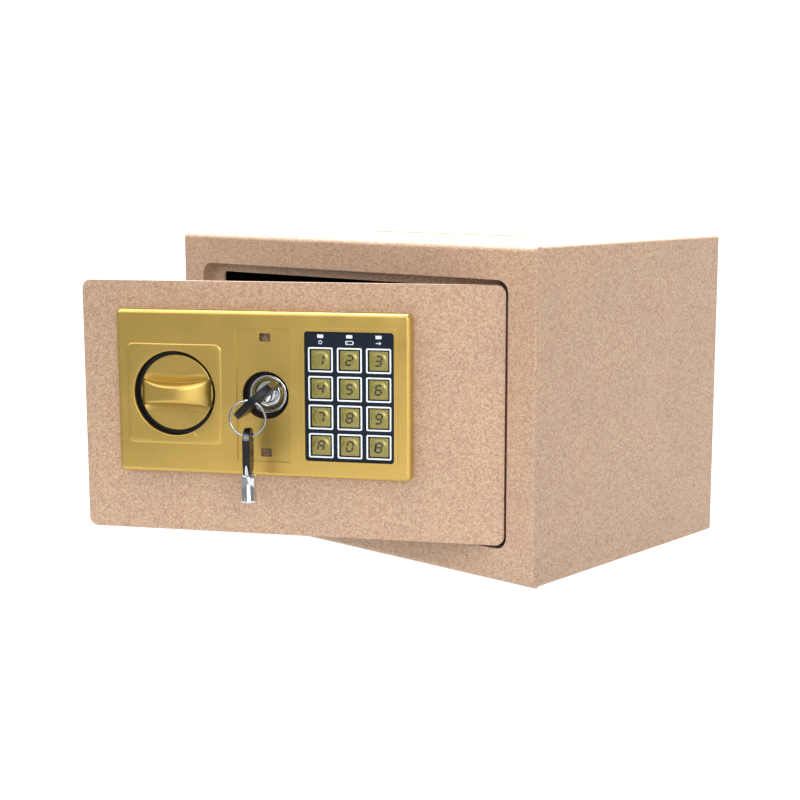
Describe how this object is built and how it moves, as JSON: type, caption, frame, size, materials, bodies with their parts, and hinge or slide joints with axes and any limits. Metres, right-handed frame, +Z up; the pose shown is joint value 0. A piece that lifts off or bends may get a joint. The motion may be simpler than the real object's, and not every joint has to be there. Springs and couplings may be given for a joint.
{
  "type": "in room safe",
  "caption": "Steel hotel room safe: hinged door with turn knob, keypad and override key lock, bolt work inside, slot in the top.",
  "frame": {"origin": "centre of the cabinet's base, on the surface it stands on", "axes": "+X to the right seen from the front, +Y towards the wall behind, +Z up"},
  "size_m": [0.31, 0.3298, 0.2],
  "materials": {
    "cabinet_paint": "hammered powder coat",
    "door_paint": "hammered powder coat",
    "gold_plastic": "satin metallic gold",
    "overlay_film": "printed navy film",
    "button_plastic": "metallic gold",
    "lamp_plastic": "translucent white",
    "board_laminate": "green circuit board",
    "component_plastic": "moulded black",
    "lock_chrome": "bright chrome plate",
    "zinc_steel": "zinc plated",
    "bolt_steel": "plated bar",
    "brass_bush": "turned",
    "nylon_bush": "natural nylon",
    "cover_paint": "black powder coat",
    "coil_wrap": "taped copper winding",
    "key_plastic": "moulded black",
    "cell_sleeve": "printed sleeve",
    "reset_plastic": "red",
    "mat_felt": "needled felt",
    "lead_sleeve": "wire insulation"
  },
  "bodies": {
    "cabinet": {"cabinet_wrap": "cabinet_paint", "front_frame": "cabinet_paint", "rear_panel": "cabinet_paint", "hinge_bushes": "nylon_bush", "floor_mat": "mat_felt"},
    "door": {"door_plate": "door_paint", "hinge_pins": "zinc_steel", "lock_bezel": "gold_plastic", "bezel_screws": "zinc_steel", "keypad_overlay": "overlay_film", "indicator_lights": "lamp_plastic", "keypad_board": "board_laminate", "knob_bush": "brass_bush", "carriage_studs": "zinc_steel", "bolt_guide": "zinc_steel", "solenoid_yoke": "zinc_steel", "solenoid_coil": "coil_wrap", "solenoid_spring": "zinc_steel", "lock_cylinder": "lock_chrome", "lock_nut": "zinc_steel", "door_inner_cover": "cover_paint", "cover_posts": "zinc_steel", "cover_screws": "zinc_steel", "battery_holder": "component_plastic", "batteries": "cell_sleeve", "battery_contacts": "zinc_steel", "main_board": "board_laminate", "board_components": "component_plastic", "keypad_cable": "lead_sleeve", "internal_leads": "lead_sleeve"},
    "knob": {"turn_knob": "gold_plastic", "knob_spindle": "zinc_steel", "drive_crank": "zinc_steel"},
    "bolts": {"bolt_carriage": "zinc_steel", "locking_bolts": "bolt_steel"},
    "plunger": {"solenoid_plunger": "bolt_steel", "plunger_pin": "zinc_steel"},
    "plug": {"lock_plug": "lock_chrome", "lock_cam": "zinc_steel", "cam_screw": "zinc_steel"},
    "key_1": {"key_1_bow": "key_plastic", "key_1_barrel": "lock_chrome"},
    "ring": {"key_ring": "lock_chrome"},
    "key_2": {"key_2_bow": "key_plastic", "key_2_barrel": "lock_chrome"},
    "lid": {"battery_lid": "component_plastic"},
    "reset": {"reset_button": "reset_plastic"},
    "button_1": {"keypad_button_1": "button_plastic"},
    "button_2": {"keypad_button_2": "button_plastic"},
    "button_3": {"keypad_button_3": "button_plastic"},
    "button_4": {"keypad_button_4": "button_plastic"},
    "button_5": {"keypad_button_5": "button_plastic"},
    "button_6": {"keypad_button_6": "button_plastic"},
    "button_7": {"keypad_button_7": "button_plastic"},
    "button_8": {"keypad_button_8": "button_plastic"},
    "button_9": {"keypad_button_9": "button_plastic"},
    "button_a": {"keypad_button_a": "button_plastic"},
    "button_0": {"keypad_button_0": "button_plastic"},
    "button_b": {"keypad_button_b": "button_plastic"}
  },
  "joints": [
    {"name": "door_hinge", "type": "hinge", "parent": "cabinet", "child": "door", "pos_m": [0.1272, -0.095, 0.1], "axis": [0, 0, 1], "range_deg": [-30, 60]},
    {"name": "bolt_throw", "type": "slide", "parent": "door", "child": "bolts", "axis": [-0.866, -0.5, 0], "range_m": [0, 0.0141]},
    {"name": "knob_turn", "type": "hinge", "parent": "door", "child": "knob", "pos_m": [-0.04264, -0.19883, 0.1092], "axis": [0.5, -0.866, 0], "range_deg": [0, 90]},
    {"name": "plunger_draw", "type": "slide", "parent": "door", "child": "plunger", "axis": [0, 0, 1], "range_m": [-0.004, 0], "stiffness_N_per_m": 100, "springref_m": 0.004, "deforming": ["solenoid_spring"]},
    {"name": "plug_turn", "type": "hinge", "parent": "door", "child": "plug", "pos_m": [0.00716, -0.17008, 0.1095], "axis": [0.5, -0.866, 0], "range_deg": [0, 90]},
    {"name": "key_withdraw", "type": "slide", "parent": "plug", "child": "key_1", "axis": [0.5, -0.866, 0], "range_m": [0, 0.012]},
    {"name": "ring_swing", "type": "hinge", "parent": "key_1", "child": "ring", "pos_m": [0.02416, -0.19953, 0.1095], "axis": [-0.7023, -0.6549, 0.2788], "range_deg": [-10, 35]},
    {"name": "key_2_swing", "type": "hinge", "parent": "ring", "child": "key_2", "pos_m": [0.02204, -0.2015, 0.08911], "axis": [-0.7314, -0.682, 0], "range_deg": [-12, 30]},
    {"name": "lid_flap", "type": "hinge", "parent": "door", "child": "lid", "pos_m": [0.04059, -0.1054, 0.1], "axis": [0.866, 0.5, 0], "range_deg": [0, 100]},
    {"name": "reset_press", "type": "slide", "parent": "door", "child": "reset", "axis": [0.5, -0.866, 0], "range_m": [0, 0.0015], "stiffness_N_per_m": 400},
    {"name": "button_1_press", "type": "slide", "parent": "door", "child": "button_1", "axis": [-0.5, 0.866, 0], "range_m": [0, 0.0005], "stiffness_N_per_m": 500},
    {"name": "button_2_press", "type": "slide", "parent": "door", "child": "button_2", "axis": [-0.5, 0.866, 0], "range_m": [0, 0.0005], "stiffness_N_per_m": 500},
    {"name": "button_3_press", "type": "slide", "parent": "door", "child": "button_3", "axis": [-0.5, 0.866, 0], "range_m": [0, 0.0005], "stiffness_N_per_m": 500},
    {"name": "button_4_press", "type": "slide", "parent": "door", "child": "button_4", "axis": [-0.5, 0.866, 0], "range_m": [0, 0.0005], "stiffness_N_per_m": 500},
    {"name": "button_5_press", "type": "slide", "parent": "door", "child": "button_5", "axis": [-0.5, 0.866, 0], "range_m": [0, 0.0005], "stiffness_N_per_m": 500},
    {"name": "button_6_press", "type": "slide", "parent": "door", "child": "button_6", "axis": [-0.5, 0.866, 0], "range_m": [0, 0.0005], "stiffness_N_per_m": 500},
    {"name": "button_7_press", "type": "slide", "parent": "door", "child": "button_7", "axis": [-0.5, 0.866, 0], "range_m": [0, 0.0005], "stiffness_N_per_m": 500},
    {"name": "button_8_press", "type": "slide", "parent": "door", "child": "button_8", "axis": [-0.5, 0.866, 0], "range_m": [0, 0.0005], "stiffness_N_per_m": 500},
    {"name": "button_9_press", "type": "slide", "parent": "door", "child": "button_9", "axis": [-0.5, 0.866, 0], "range_m": [0, 0.0005], "stiffness_N_per_m": 500},
    {"name": "button_a_press", "type": "slide", "parent": "door", "child": "button_a", "axis": [-0.5, 0.866, 0], "range_m": [0, 0.0005], "stiffness_N_per_m": 500},
    {"name": "button_0_press", "type": "slide", "parent": "door", "child": "button_0", "axis": [-0.5, 0.866, 0], "range_m": [0, 0.0005], "stiffness_N_per_m": 500},
    {"name": "button_b_press", "type": "slide", "parent": "door", "child": "button_b", "axis": [-0.5, 0.866, 0], "range_m": [0, 0.0005], "stiffness_N_per_m": 500}
  ],
  "couplings": [
    {"joint": "knob_turn", "follows": "bolt_throw", "rad_per_m": 111.2}
  ]
}
